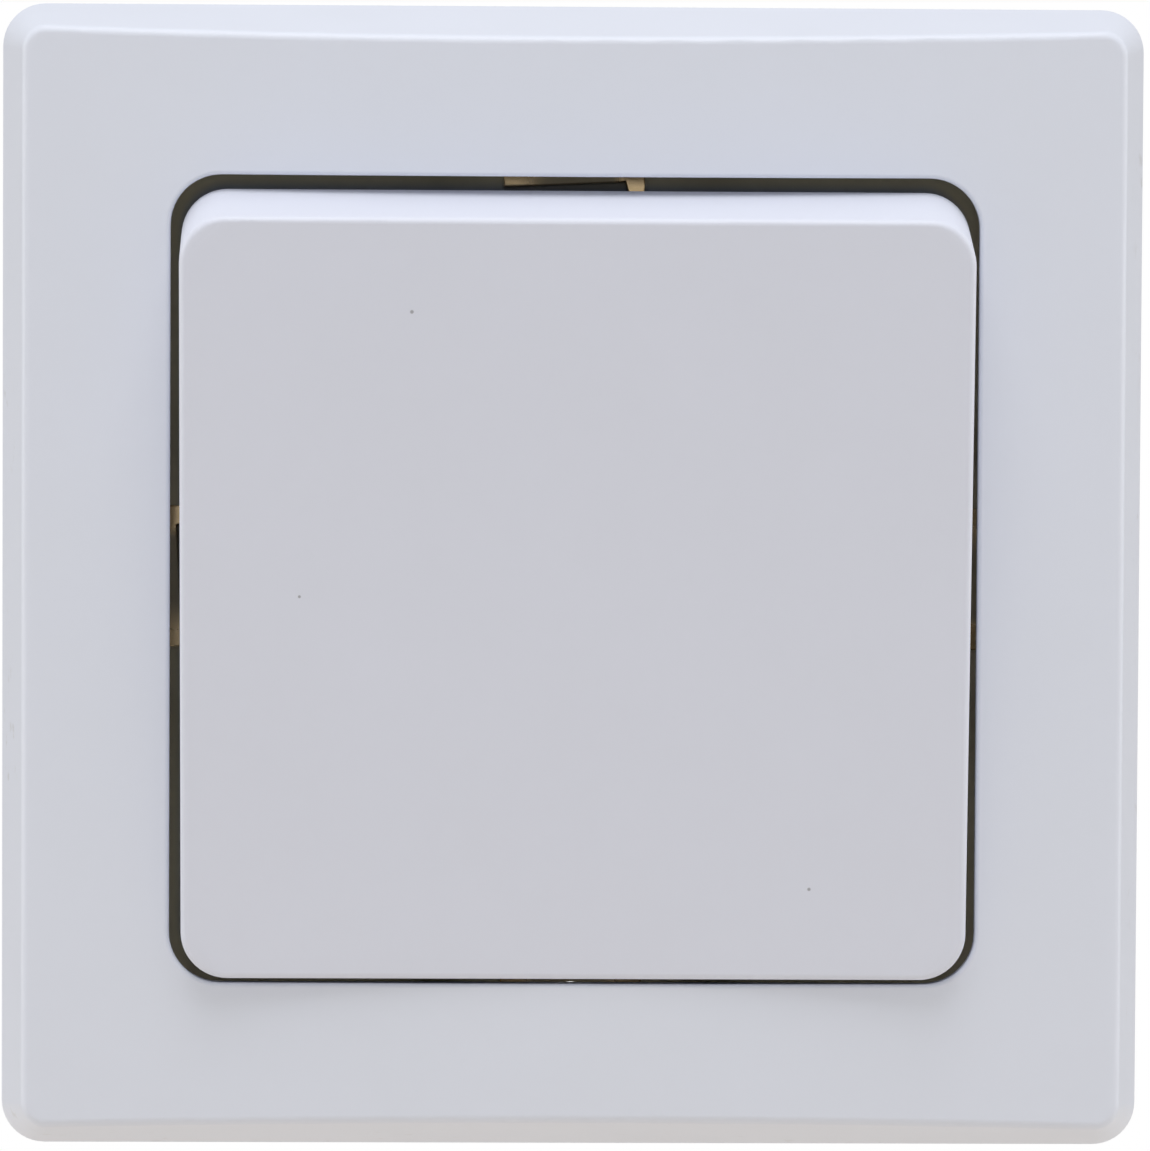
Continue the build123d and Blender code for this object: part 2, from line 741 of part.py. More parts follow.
def make_claw():
    """Right-hand claw: a slotted leaf with rolled hinge ends and a toothed end bent outwards."""
    half = claw_width / 2
    thick = claw_thick / 2
    leaf = block(-thick, thick, -half, half, -claw_length, 0)
    leaf -= block(-spare, spare, -claw_slot / 2, claw_slot / 2, -claw_slot_length, spare)
    bead = Rot(90, 0, 0) * Cylinder(bead_radius, 2 * (half + seat_gap + bead_overhang))
    bead -= block(-spare, spare, -claw_slot / 2, claw_slot / 2, -spare, spare)
    tooth = Polyline(
        (-half, thick),
        (-half, thick + claw_tooth),
        (-half / 2, thick + claw_tooth / 2),
        (0, thick + claw_tooth),
        (half / 2, thick + claw_tooth / 2),
        (half, thick + claw_tooth),
        (half, thick),
        close=True,
    )
    teeth = Rot(0, 0, -90) * make_face(tooth)
    claw = leaf + bead + prism(mirror(teeth, Plane.XZ), -claw_length, -claw_length + claw_thick)
    return Pos(claw_pivot_x, 0, claw_pivot_z) * Rot(0, -claw_lean, 0) * claw


def make_claw_screw():
    """Claw screw on the right: a plain shank and a slotted pan head in front of the plate."""
    shank = prism(Circle(screw_radius), -screw_length, plate_thick)
    head_low = plate_thick
    head_high = head_low + screw_head_height
    head = prism(Circle(screw_head_radius), head_low, head_high)
    head = chamfer(head.edges().filter_by(GeomType.CIRCLE).sort_by(Axis.Z)[-1], screw_head_bevel)
    slot_floor = head_high - screw_head_height / 2
    cut = prism(Rectangle(3 * screw_head_radius, screw_slot), slot_floor, head_high + spare)
    return Pos(claw_x, 0, 0) * (shank + head - cut)


def make_claw_nut():
    """Square nut on the right-hand claw screw."""
    outline = Rectangle(nut_side, nut_side) - Circle(screw_radius + running_gap)
    return Pos(claw_x, 0, 0) * prism(outline, -nut_depth - nut_height, -nut_depth)


def save(name, *shapes):
    """Write one node, turned so that up is z and the front faces -y."""
    solids = [solid for shape in shapes for solid in (Rot(90, 0, 0) * shape).solids()]
    export_step(Compound(children=solids), os.path.join("parts", name + ".step"))


os.makedirs("parts", exist_ok=True)
save("cover_frame", make_cover_frame())
save("mounting_plate", make_mounting_plate())
save("insert_base", make_insert_base())
save("insert_cover", make_insert_cover())
save("rocker", turned(make_rocker(), -pivot_depth, half_travel))
save("rocker_carrier", turned(make_rocker_carrier(), -pivot_depth, half_travel))
for side, hand in ((-1, "left"), (1, "right")):
    at_side = Pos(side * plunger_x, 0, 0)
    save("plunger_" + hand, turned(at_side * make_plunger(), -pivot_depth, half_travel))
    save("plunger_spring_" + hand, turned(at_side * make_plunger_spring(), -pivot_depth, half_travel))
    save("contact_blade_" + hand, turned(at_side * make_contact_blade(), fulcrum, -blade_tilt))
    save("blade_tips_" + hand, *[turned(at_side * tip, fulcrum, -blade_tilt) for tip in make_blade_tips()])
    save("fulcrum_bar_" + hand, make_fulcrum_bar(side))
    around = Rot(0, 0, 90 - 90 * side)
    save("claw_" + hand, around * make_claw())
    save("claw_screw_" + hand, around * make_claw_screw())
    save("claw_nut_" + hand, around * make_claw_nut())
save("link_bar_flat", make_link_bar(1, 0))
save("fixed_tips_flat", *make_fixed_tips(1))
save("link_bar_stepped", make_link_bar(-1, crossing_gap + bar_thick))
save("fixed_tips_stepped", *make_fixed_tips(-1))
for number, shape in enumerate(each_terminal(make_clamp_spring()), 1):
    save("clamp_spring_" + str(number), shape)
for number, shape in enumerate(each_terminal(make_release_button()), 1):
    save("release_button_" + str(number), shape)
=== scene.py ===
# %% [markdown]
# # A flush intermediate switch
# This lesson dresses a wall switch: a white rocker in an arched square frame, on a steel plate that
# carries a moulded insert. The solids are already at their real size and place, so nothing here is
# fitted or moved. The script gives each piece its finish and edges, and adds what is too fine for
# the solids, such as threads.

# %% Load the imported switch
import json
from contextlib import contextmanager
from math import pi, radians

import bmesh
import bpy
from mathutils import Matrix, Vector


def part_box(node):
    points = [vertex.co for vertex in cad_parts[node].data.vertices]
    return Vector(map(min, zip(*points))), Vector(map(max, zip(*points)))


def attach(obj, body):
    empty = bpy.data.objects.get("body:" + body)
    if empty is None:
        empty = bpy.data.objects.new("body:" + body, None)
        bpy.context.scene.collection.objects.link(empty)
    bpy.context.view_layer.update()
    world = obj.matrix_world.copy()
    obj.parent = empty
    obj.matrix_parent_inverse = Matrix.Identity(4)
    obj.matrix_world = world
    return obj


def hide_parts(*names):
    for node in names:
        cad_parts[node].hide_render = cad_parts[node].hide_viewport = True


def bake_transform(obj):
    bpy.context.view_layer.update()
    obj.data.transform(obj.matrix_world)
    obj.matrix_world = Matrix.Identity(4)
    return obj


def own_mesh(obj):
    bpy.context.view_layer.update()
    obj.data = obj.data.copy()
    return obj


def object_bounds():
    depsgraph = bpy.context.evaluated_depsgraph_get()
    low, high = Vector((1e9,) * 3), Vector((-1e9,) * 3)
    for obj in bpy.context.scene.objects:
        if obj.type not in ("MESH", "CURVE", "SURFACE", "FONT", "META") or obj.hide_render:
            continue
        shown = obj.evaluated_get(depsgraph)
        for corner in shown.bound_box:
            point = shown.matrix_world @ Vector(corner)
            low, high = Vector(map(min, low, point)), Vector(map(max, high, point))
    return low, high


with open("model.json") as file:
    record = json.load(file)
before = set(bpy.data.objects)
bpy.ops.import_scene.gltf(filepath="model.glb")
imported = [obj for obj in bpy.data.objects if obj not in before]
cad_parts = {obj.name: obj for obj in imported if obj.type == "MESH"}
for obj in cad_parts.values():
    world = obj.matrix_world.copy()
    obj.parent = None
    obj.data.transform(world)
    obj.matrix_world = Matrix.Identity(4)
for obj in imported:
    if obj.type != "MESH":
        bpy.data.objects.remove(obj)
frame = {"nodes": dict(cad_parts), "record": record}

cad_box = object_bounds()
nodes = frame["nodes"]
record = frame["record"]
behaviour = record["behaviour"]
body_of = {node: body for body, members in behaviour["bodies"].items() for node in members}
joint_of = {joint["name"]: joint for joint in behaviour["joints"]}
scene = bpy.context.scene
MM = 0.001

# %% [markdown]
# ## The camera
# The photograph was taken from close in front, a little above the switch and a little to its left,
# with the rocker's lower half pressed. A camera could be aimed by eye, but a few pixels show at
# this distance, so its place and turns were found by fitting the edges of the frame and its
# aperture. The long lens keeps the sides almost parallel.

# %% Place the camera
PHOTO_WIDTH = 1150
FOCAL_PIXELS = 5427
SENSOR = 36.0
camera_place = Vector((-7.60, -381.6, 13.88)) * MM
look_down, look_right, roll = radians(2.068), radians(1.172), radians(-0.256)

lens = bpy.data.cameras.new("camera")
lens.sensor_fit = "HORIZONTAL"
lens.sensor_width = SENSOR
lens.lens = SENSOR * FOCAL_PIXELS / PHOTO_WIDTH
camera = bpy.data.objects.new("camera", lens)
turns = Matrix.Rotation(pi / 2 - look_down, 4, "X") @ Matrix.Rotation(-look_right, 4, "Y")
camera.matrix_world = Matrix.Translation(camera_place) @ turns @ Matrix.Rotation(-roll, 4, "Z")
scene.collection.objects.link(camera)
scene.camera = camera
distance = round(-camera_place.y, 3)
print("camera with a", round(lens.lens), "mm lens,", distance, "m in front of the wall")

# %% [markdown]
# ## Writing shader maths
# A finish is easier to read as a formula than as a list of links. `Wire` stands for one socket:
# adding or multiplying wires adds Math nodes. `Graph` is a node tree, and its `node` method adds
# any other node: settings first, then the values or wires of its inputs. `Finish` is the graph of
# a material.

# %% The helper classes
class Wire:
    """One output socket. Arithmetic on it adds Math nodes to its graph."""

    def __init__(self, graph, socket):
        self.graph = graph
        self.socket = socket

    def __add__(self, other):
        return self.graph.math("ADD", self, other)

    def __mul__(self, other):
        return self.graph.math("MULTIPLY", self, other)

    __radd__ = __add__
    __rmul__ = __mul__

    def __sub__(self, other):
        return self.graph.math("SUBTRACT", self, other)

    def __rsub__(self, other):
        return self.graph.math("SUBTRACT", other, self)

    def __abs__(self):
        return self.graph.math("ABSOLUTE", self)

    def sign(self):
        return self.graph.math("SIGN", self)

    def root(self):
        return self.graph.math("SQRT", self)

    def above(self, other):
        """1 where this value is above the other, 0 elsewhere."""
        return self.graph.math("GREATER_THAN", self, other)

    def most(self, other):
        """The greater of two values."""
        return self.graph.math("MAXIMUM", self, other)

    def ramp(self, low, high):
        """0 below low, 1 above high, smooth between. With low above high it falls instead."""
        inputs = {"Value": self, "From Min": low, "From Max": high}
        return self.graph.node("MapRange", {"interpolation_type": "SMOOTHSTEP"}, inputs)

    def mask(self, limits):
        """A ramp over a length, between two limits in millimetres."""
        low, high = limits
        return self.ramp(low * MM, high * MM)


class Graph:
    """A node tree with the x, y and z of one of its texture coordinates."""

    def __init__(self, tree, coordinate):
        self.tree = tree
        self.place = self.node("TexCoord", output=coordinate)
        apart = self.node("SeparateXYZ", inputs={"Vector": self.place}).socket.node
        self.x, self.y, self.z = (Wire(self, socket) for socket in apart.outputs)

    def node(self, kind, settings=None, inputs=None, output=0):
        """Any shader node: settings are set first, then inputs. Returns one of its outputs."""
        made = self.tree.nodes.new("ShaderNode" + kind)
        for name, value in (settings or {}).items():
            setattr(made, name, value)
        for name, value in (inputs or {}).items():
            self.feed(self.socket(made.inputs, name), value)
        return Wire(self, self.socket(made.outputs, output))

    @staticmethod
    def socket(sockets, name):
        """A socket by its number, identifier or name."""
        if isinstance(name, int):
            return sockets[name]
        return next(s for s in sockets if name in (s.identifier, s.name))

    def feed(self, socket, value):
        """Link a wire to a socket, or set the socket's own value."""
        if isinstance(value, Wire):
            self.tree.links.new(value.socket, socket)
        else:
            socket.default_value = value

    def math(self, operation, *values):
        """A Math node on values or wires."""
        return self.node("Math", {"operation": operation}, dict(enumerate(values)))


class Finish(Graph):
    """A material around one Principled shader, with patterns in the object's own coordinates."""

    def __init__(self, name):
        self.material = bpy.data.materials.new(name)
        self.material.use_nodes = True
        super().__init__(self.material.node_tree, "Object")
        self.shader = self.tree.nodes["Principled BSDF"]

    def noise(self, scale, detail=2.0, stretch=(1, 1, 1), shift=(0, 0, 0)):
        """Smooth noise from 0 to 1, with scale in features per metre."""
        inputs = {"Vector": self.place, "Location": shift, "Scale": stretch}
        where = self.node("Mapping", inputs=inputs)
        return self.node("TexNoise", inputs={"Vector": where, "Scale": scale, "Detail": detail})

    def mix(self, amount, first, second):
        """A colour between two colours, each of which may be a wire."""
        inputs = {"Factor_Float": amount, "A_Color": first, "B_Color": second}
        return self.node("Mix", {"data_type": "RGBA"}, inputs, "Result_Color")

    def bump(self, height, depth):
        """Relief of the given depth in metres, on the shader's normal."""
        self.set({"Normal": self.node("Bump", inputs={"Height": height, "Distance": depth})})

    def set(self, inputs):
        """Values or wires for the Principled shader's own sockets."""
        for name, value in inputs.items():
            self.feed(self.shader.inputs[name], value)


def linear(value):
    """An sRGB value from 0 to 255, as on a screen, in the linear form that shaders use."""
    part = value / 255
    return part / 12.92 if part <= 0.04045 else ((part + 0.055) / 1.055) ** 2.4


def colour(red, green, blue):
    """A colour as it is seen on a screen, ready for a shader."""
    return [linear(red), linear(green), linear(blue), 1.0]


print("shader maths ready")

# %% [markdown]
# ## White moulding
# The frame and the rocker are polished white thermoplastic with a cool cast. A single white would
# do from afar, but a real moulding is never one flat colour: the melt leaves soft cloudy
# differences, the polish varies a little, and handling scuffs the outer edges. Broad noise gives
# the clouds, fine noise the skin, and thresholded noise the scuffs, which masks keep to the
# frame's drafted sides, apart from the upper one. The specks of dust on the rocker are small discs.

# %% Finish of the frame and the rocker
FRAME_TONES = colour(226, 230, 241), colour(224, 228, 238)
ROCKER_TONES = colour(224, 227, 239), colour(222, 225, 236)
SCUFF = colour(196, 196, 196)
SPECK = colour(150, 150, 154)
SCUFF_STRENGTH, SPECK_STRENGTH = 0.5, 0.8
MOULDING_IOR = 1.47
SKIN_RELIEF = 0.004 * MM
# Noise scales, in features per metre
CLOUDS, POLISH, SKIN, MARKS, PATCHES = 120, 160, 2600, 700, 110
# Masks for the scuffs, in millimetres from the frame's outer edge
DRAFTED_SIDE, BELOW_TOP = (-1.7, -1.2), (-1.4, -1.9)
# Dust specks: x, z and radius in millimetres, and the share of the radius that is solid
SPECKS = (-11.2, 18.4, 0.16), (-18.8, -1.0, 0.13), (16.2, -21.05, 0.15)
SPECK_CORE = 0.4


def white_moulding(name, tones):
    """White moulding with cloudy colour and a finely uneven polish."""
    finish = Finish(name)
    finish.cloudy = finish.mix(finish.noise(CLOUDS, detail=3), *tones)
    finish.set({
        "Base Color": finish.cloudy,
        "Roughness": 0.36 + 0.10 * finish.noise(POLISH, detail=4),
        "IOR": MOULDING_IOR,
    })
    finish.bump(finish.noise(SKIN, detail=3), SKIN_RELIEF)
    return finish


def half_width(node):
    """Half of a node's width, in metres."""
    low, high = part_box(node)
    return (high.x - low.x) / 2


def frame_finish():
    """The frame's moulding, with fine scuffs along its drafted sides, but none on top."""
    finish = white_moulding("white_moulding_frame", FRAME_TONES)
    half = half_width("cover_frame")
    outward = abs(finish.x).most(abs(finish.z))
    side = (outward - half).mask(DRAFTED_SIDE) * (finish.z - half).mask(BELOW_TOP)
    patches = finish.noise(PATCHES, shift=(0.3, 0, 0)).ramp(0.45, 0.65)
    marks = finish.noise(MARKS, detail=6).ramp(0.60, 0.72) * patches
    finish.set({"Base Color": finish.mix(SCUFF_STRENGTH * marks * side, finish.cloudy, SCUFF)})
    return finish.material


def speck(finish, x, z, radius):
    """A dust speck on the rocker's face, at x and z as seen from the front."""
    across = finish.x - x * MM
    up = finish.z - z * MM
    rim = radius * MM
    return (across * across + up * up).ramp(rim ** 2, (SPECK_CORE * rim) ** 2)


def rocker_finish():
    """The rocker's moulding, with dust specks on its face."""
    finish = white_moulding("white_moulding_rocker", ROCKER_TONES)
    specks = sum(speck(finish, *place) for place in SPECKS)
    finish.set({"Base Color": finish.mix(SPECK_STRENGTH * specks, finish.cloudy, SPECK)})
    return finish.material


FRAME_WHITE = frame_finish()
ROCKER_WHITE = rocker_finish()
print("white mouldings:", FRAME_WHITE.name, ROCKER_WHITE.name)

# %% [markdown]
# ## Passivated steel
# The plate and the claws are zinc-plated steel with a yellow chromate film. The film is uneven, so
# its hue wanders from straw to olive, and the rolled sheet shows a fine grain. Where the narrow gap
# round the rocker shows the plate, painted shade darkens it to a slate and olive strip, with
# painted shadow deepest by the coined pads at the middle of each side, and the pads carry painted
# light.
# Painted maps could show that, but masks on the object's own coordinates stay sharp at any
# distance:
# how far a point lies in front of the wall, out from the middle and along its side of the gap.

# %% Finish of the plate and the claws
STRAW = colour(196, 170, 126)
OLIVE = colour(186, 168, 118)
# Painted light: the tan of the lit pads
PAINTED_LIGHT_TAN = colour(230, 202, 156)
# Painted shade and painted shadow for the strip of plate seen in the gap
SHADE_OLIVE = colour(196, 190, 164)
SHADE_SLATE = colour(126, 136, 156)
PAINTED_SHADOW = colour(52, 48, 38)
GRAIN_RELIEF = 0.003 * MM
# How much painted light a pad gets all over, more on level sides, and more at its toe and heel
PAD_LIGHT, LEVEL_LIGHT, TOE_LIGHT, HEEL_LIGHT = 0.10, 0.16, 0.88, 0.65
# How much painted shadow darkens the strip by the pads, how much painted shade hides the metal, and
# how much smoother the painted light makes the steel
PAD_SHADOW_STRENGTH, SHADE_COVER, PAINTED_LIGHT_POLISH = 0.5, 0.9, 0.6
# Noise scales, in features per metre
FILM, ROLLED_GRAIN = 55, 900
# Masks in front of the wall, in millimetres
SHEET_FRONT, PAD_START, PAD_FRONT = (1.0, 1.15), (1.33, 1.42), (1.75, 1.65)
# Masks out from the middle, in millimetres
GAP_INSIDE, GAP_OUTSIDE = (25.6, 26.0), (29.2, 28.8)
GAP_SHADE_BLEND, HEEL_INSIDE = (26.9, 27.9), (27.3, 27.6)
# Masks along a side of the gap, in millimetres
TOE, HEEL, PAD_ENDS = (2.6, 3.6), (-1.5, -4.2), (5.0, 4.8)
# Where the gap's rounded corners have their centres
CORNER = 24.25 * MM


def passivated_steel(name):
    """Yellow-passivated steel sheet with a rolled grain."""
    finish = Finish(name)
    hue = finish.noise(FILM, detail=2).ramp(0.25, 0.75)
    grain = finish.noise(ROLLED_GRAIN, detail=3, stretch=(1, 1, 0.08))
    finish.film = finish.mix(hue, STRAW, OLIVE)
    finish.rough = 0.34 + 0.22 * grain
    finish.set({"Metallic": 1.0, "Base Color": finish.film, "Roughness": finish.rough})
    finish.bump(grain, GRAIN_RELIEF)
    return finish


def gap_places(finish):
    """How far a point lies out from the middle and clockwise along its side of the gap.

    The third value is 1 on the upper and lower sides, and 0 on the left and right."""
    beside = (abs(finish.x) - CORNER).most(0.0)
    over = (abs(finish.z) - CORNER).most(0.0)
    outward = (beside * beside + over * over).root() + CORNER
    level = abs(finish.z).above(abs(finish.x))
    along = level * finish.x * finish.z.sign() - (1 - level) * finish.z * finish.x.sign()
    return outward, along, level


def plate_finish():
    """The plate's steel, with painted shade where the gap shows it and painted light on the raised
    pads.
    """
    finish = passivated_steel("passivated_steel_plate_painted_light")
    out = 0.0 - finish.y
    outward, along, level = gap_places(finish)
    pad = out.mask(PAD_START) * out.mask(PAD_FRONT)
    toe = along.mask(TOE)
    heel = along.mask(HEEL) * outward.mask(HEEL_INSIDE)
    # Painted light on the pads, brightest at the toe and next at the heel
    bright = pad * (PAD_LIGHT + LEVEL_LIGHT * level + TOE_LIGHT * toe + HEEL_LIGHT * heel)
    ring = outward.mask(GAP_INSIDE) * outward.mask(GAP_OUTSIDE)
    # Painted shade on the strip of plate that the gap shows
    painted_shade = ring * out.mask(SHEET_FRONT) * out.mask(PAD_FRONT)
    # The painted shade runs from slate to olive outwards, with painted shadow along the pads
    shade_tone = finish.mix(outward.mask(GAP_SHADE_BLEND), SHADE_SLATE, SHADE_OLIVE)
    shade_tone = finish.mix(PAD_SHADOW_STRENGTH * abs(along).mask(PAD_ENDS), shade_tone, PAINTED_SHADOW)
    film = finish.mix(painted_shade, finish.film, shade_tone)
    finish.set({
        "Metallic": 1 - SHADE_COVER * painted_shade * (1 - bright),
        "Base Color": finish.mix(bright, film, PAINTED_LIGHT_TAN),
        "Roughness": finish.rough * (1 - PAINTED_LIGHT_POLISH * bright),
    })
    return finish.material


# The plate's material holds painted shade and painted light as well as its steel
PLATE_STEEL_PAINTED_LIGHT = plate_finish()
CLAW_STEEL = passivated_steel("passivated_steel_claw").material
print("passivated steel:", PLATE_STEEL_PAINTED_LIGHT.name, CLAW_STEEL.name)

# %% [markdown]
# ## Insert mouldings
# The insert is moulded in a pale, matt thermoset, its carrier in a dark one, and the release
# buttons in a bright colour so that the electrician finds them. Matt tools are spark eroded, which
# leaves a fine pebbled skin. Relief that fine would need millions of faces, so it is a bump, and
# these finishes share one function and differ in colour and pebble.

# %% Finishes of the insert
# Noise scales, in features per metre
FLOW, PEBBLES = 70, 1700


def pebbled_moulding(name, main, other, rough, pebble):
    """Matt moulding with faint flow marks and a skin of pebbles, their height in millimetres."""
    finish = Finish(name)
    flow = finish.noise(FLOW, detail=3, stretch=(1, 1, 0.35)).ramp(0.3, 0.7)
    pebbles = finish.noise(PEBBLES, detail=2)
    finish.set({"Base Color": finish.mix(flow, main, other), "Roughness": rough + 0.12 * pebbles})
    finish.bump(pebbles, pebble * MM)
    return finish.material


PALE = pebbled_moulding("pale_moulding", colour(221, 219, 211), colour(211, 208, 198),
                        rough=0.50, pebble=0.012)
DARK = pebbled_moulding("dark_moulding", colour(58, 59, 62), colour(48, 49, 52),
                        rough=0.46, pebble=0.008)
BUTTON = pebbled_moulding("button_moulding", colour(222, 118, 38), colour(207, 104, 30),
                          rough=0.42, pebble=0.006)
print("insert mouldings:", PALE.name, DARK.name, BUTTON.name)

# %% [markdown]
# ## Bare metals
# Brass bars, silver contact rivets, spring strip and zinc-plated screws differ in colour, in how
# far they are tarnished and in how their grain runs. One function takes those values, so that each
# metal is one call instead of a node tree of its own.

# %% Finishes of the metals
# Noise scales, in features per metre
TARNISH, METAL_GRAIN = 260, 2200
METAL_RELIEF = 0.002 * MM


def bare_metal(name, bright, tarnish, rough, amount, stretch=(1, 1, 1)):
    """Metal with cloudy tarnish and a fine grain that may be stretched along one axis."""
    finish = Finish(name)
    clouds = finish.noise(TARNISH, detail=4).ramp(0.35, 0.75)
    grain = finish.noise(METAL_GRAIN, detail=3, stretch=stretch)
    finish.set({
        "Metallic": 1.0,
        "Base Color": finish.mix(amount * clouds, bright, tarnish),
        "Roughness": rough + 0.18 * grain,
    })
    finish.bump(grain, METAL_RELIEF)
    return finish.material


BRASS = bare_metal("stamped_brass", colour(228, 196, 118), colour(166, 128, 66),
                   rough=0.24, amount=0.6, stretch=(1, 1, 0.1))
SILVER = bare_metal("silver_rivets", colour(226, 224, 218), colour(170, 162, 146),
                    rough=0.26, amount=0.5)
SPRING = bare_metal("spring_steel", colour(190, 192, 196), colour(128, 126, 124),
                    rough=0.26, amount=0.5, stretch=(0.1, 1, 1))
ZINC = bare_metal("bright_zinc", colour(206, 209, 214), colour(150, 152, 154),
                  rough=0.28, amount=0.5)
print("metals:", BRASS.name, SILVER.name, SPRING.name, ZINC.name)

# %% [markdown]
# ## From solids to finished skins
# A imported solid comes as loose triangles. To shade as a moulding or a pressing does, a copy is
# merged into one skin, its sharp edges get a narrow bevel, and weighted normals keep the flats
# flat. A bevel tangles the long triangles of a flat with holes in it, so each flat is filled afresh
# from its outline. The copy then stands for its node.

# %% Helpers that finish a piece
MERGE = 0.002 * MM
SHARP = radians(32)
# The cosine between two faces above which they count as one plane
IN_PLANE = 0.999999


@contextmanager
def editing(mesh):
    """Work on a mesh with bmesh, and write it back at the end."""
    work = bmesh.new()
    work.from_mesh(mesh)
    yield work
    work.to_mesh(mesh)
    work.free()


def smooth(work):
    """Let every face shade smoothly."""
    for face in work.faces:
        face.smooth = True


def baked(piece):
    """The piece with its modifiers turned into plain mesh."""
    bpy.context.view_layer.update()
    graph = bpy.context.evaluated_depsgraph_get()
    mesh = bpy.data.meshes.new_from_object(piece.evaluated_get(graph))
    piece.modifiers.clear()
    piece.data = mesh
    return piece


def skin_of(node, name):
    """A new object with a merged copy of a node's mesh, smooth between its sharp edges."""
    mesh = nodes[node].data.copy()
    mesh.name = name
    mesh.materials.clear()
    # The pack's own normals would hide the new shading
    mesh.attributes.remove(mesh.attributes["custom_normal"])
    with editing(mesh) as work:
        bmesh.ops.remove_doubles(work, verts=work.verts, dist=MERGE)
        smooth(work)
    mesh.set_sharp_from_angle(angle=SHARP)
    piece = bpy.data.objects.new(name, mesh)
    scene.collection.objects.link(piece)
    return piece


def flat_regions(work):
    """Groups of neighbouring faces that lie in one plane."""
    seen, regions = set(), []
    for first in work.faces:
        if first in seen:
            continue
        seen.add(first)
        region = [first]
        for face in region:
            for other in (near for edge in face.edges for near in edge.link_faces):
                if other not in seen and other.normal.dot(first.normal) > IN_PLANE:
                    seen.add(other)
                    region.append(other)
        regions.append(region)
    return [region for region in regions if len(region) > 1]


def fill_flats(piece):
    """Fill each flat region of a piece afresh from its outline."""
    with editing(piece.data) as work:
        for region in flat_regions(work):
            normal = region[0].normal.copy()
            inside = set(region)
            edges = dict.fromkeys(edge for face in region for edge in face.edges)
            shared = {edge: len(inside.intersection(edge.link_faces)) for edge in edges}
            inner = [edge for edge, count in shared.items() if count > 1]
            outline = [edge for edge, count in shared.items() if count == 1]
            bmesh.ops.delete(work, geom=region, context="FACES_ONLY")
            bmesh.ops.delete(work, geom=inner, context="EDGES")
            bmesh.ops.triangle_fill(work, edges=outline, use_beauty=True, normal=normal)
        smooth(work)


def ease_edges(piece, width):
    """A narrow bevel along the sharp edges, in millimetres."""
    bevel = piece.modifiers.new("eased edges", "BEVEL")
    bevel.width = width * MM
    bevel.segments = 2
    bevel.limit_method = "ANGLE"
    bevel.angle_limit = SHARP
    bevel.use_clamp_overlap = False
    bevel.loop_slide = False
    fill_flats(baked(piece))


def paint(piece, material):
    """Give a piece one material."""
    piece.data.materials.clear()
    piece.data.materials.append(material)


def dressed(piece, node, material, rides=True):
    """Give a piece its material, and let it stand for a node."""
    paint(piece, material)
    if rides:
        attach(piece, body_of[node])
    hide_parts(node)
    return piece


def finished(node, material, ease=0.0, rides=True):
    """A skin that stands for a node and rides on its body, or with rides off is left on no body."""
    piece = skin_of(node, node + ".skin")
    if ease:
        ease_edges(piece, ease)
    normals = piece.modifiers.new("flat faces stay flat", "WEIGHTED_NORMAL")
    normals.keep_sharp = True
    return dressed(baked(piece), node, material, rides)


print("finishing helpers ready")

# %% [markdown]
# ## Frame and rocker
# These two carry the whole look from the front. A bevel could round them here, but their rounded
# edges are already in the solids, so the skins only need smooth shading.

# %% Finish the frame and the rocker
frame_skin = finished("cover_frame", FRAME_WHITE)
rocker_skin = finished("rocker", ROCKER_WHITE)
print("front:", len(frame_skin.data.polygons), "and", len(rocker_skin.data.polygons), "faces")

# %% [markdown]
# ## Pressings and mouldings behind the frame
# Pressed sheet has edges eased by the punch, and mouldings have edges eased by the tool. The bevel
# is a tenth of a millimetre or so, which is enough to catch a thin line of light and too small to
# be worth modelling in the solids.

# %% Finish the plate, the claws, the insert and its buttons
TERMINALS = range(1, 5)
# Material and width of the bevel in millimetres
EASED = {
    "mounting_plate": (PLATE_STEEL_PAINTED_LIGHT, 0.10),
    "claw_left": (CLAW_STEEL, 0.04),
    "claw_right": (CLAW_STEEL, 0.04),
    "insert_base": (PALE, 0.08),
    "insert_cover": (PALE, 0.12),
    "rocker_carrier": (DARK, 0.05),
    "claw_nut_left": (ZINC, 0.18),
    "claw_nut_right": (ZINC, 0.18),
}
for number in TERMINALS:
    EASED["release_button_%d" % number] = (BUTTON, 0.15)
for node, (material, ease) in EASED.items():
    piece = finished(node, material, ease)
    print(piece.name, len(piece.data.polygons), "faces")

# %% [markdown]
# ## Contacts, bars and plungers
# The contact work is stamped brass with silver rivets, rocked by two moulded plungers. It is closed
# in by the insert, so a bevel would never be seen: these pieces keep their solids and only take a
# finish.

# %% Finish the pieces inside the insert
HANDS = ("left", "right")
WAYS = ("flat", "stepped")
INSIDE = {
    "contact_blade": (BRASS, HANDS),
    "fulcrum_bar": (BRASS, HANDS),
    "blade_tips": (SILVER, HANDS),
    "plunger": (DARK, HANDS),
    "link_bar": (BRASS, WAYS),
    "fixed_tips": (SILVER, WAYS),
}
for start, (material, ends) in INSIDE.items():
    for end in ends:
        paint(nodes[start + "_" + end], material)
print("inner pieces finished:", ", ".join(INSIDE))

# %% [markdown]
# ## Wire and thread along a helix
# A coil spring and a screw thread are the same thing to a maker: a section carried along a helix.
# The Screw modifier could sweep each of them by itself, but one Geometry Nodes group does both. Its
# inputs are the turns, the height, the radius and the section, and a core of its own radius for the
# screw's root.

# %% A node group that sweeps a section along a helix
HELIX_INPUTS = {
    "Turns": "NodeSocketFloat",
    "Height": "NodeSocketFloat",
    "Radius": "NodeSocketFloat",
    "Section": "NodeSocketVector",
    "Section Points": "NodeSocketInt",
    "Core Radius": "NodeSocketFloat",
    "Place": "NodeSocketVector",
    "Turn": "NodeSocketRotation",
    "Material": "NodeSocketMaterial",
}
STEPS_PER_TURN = 24
CORE_SIDES = 32


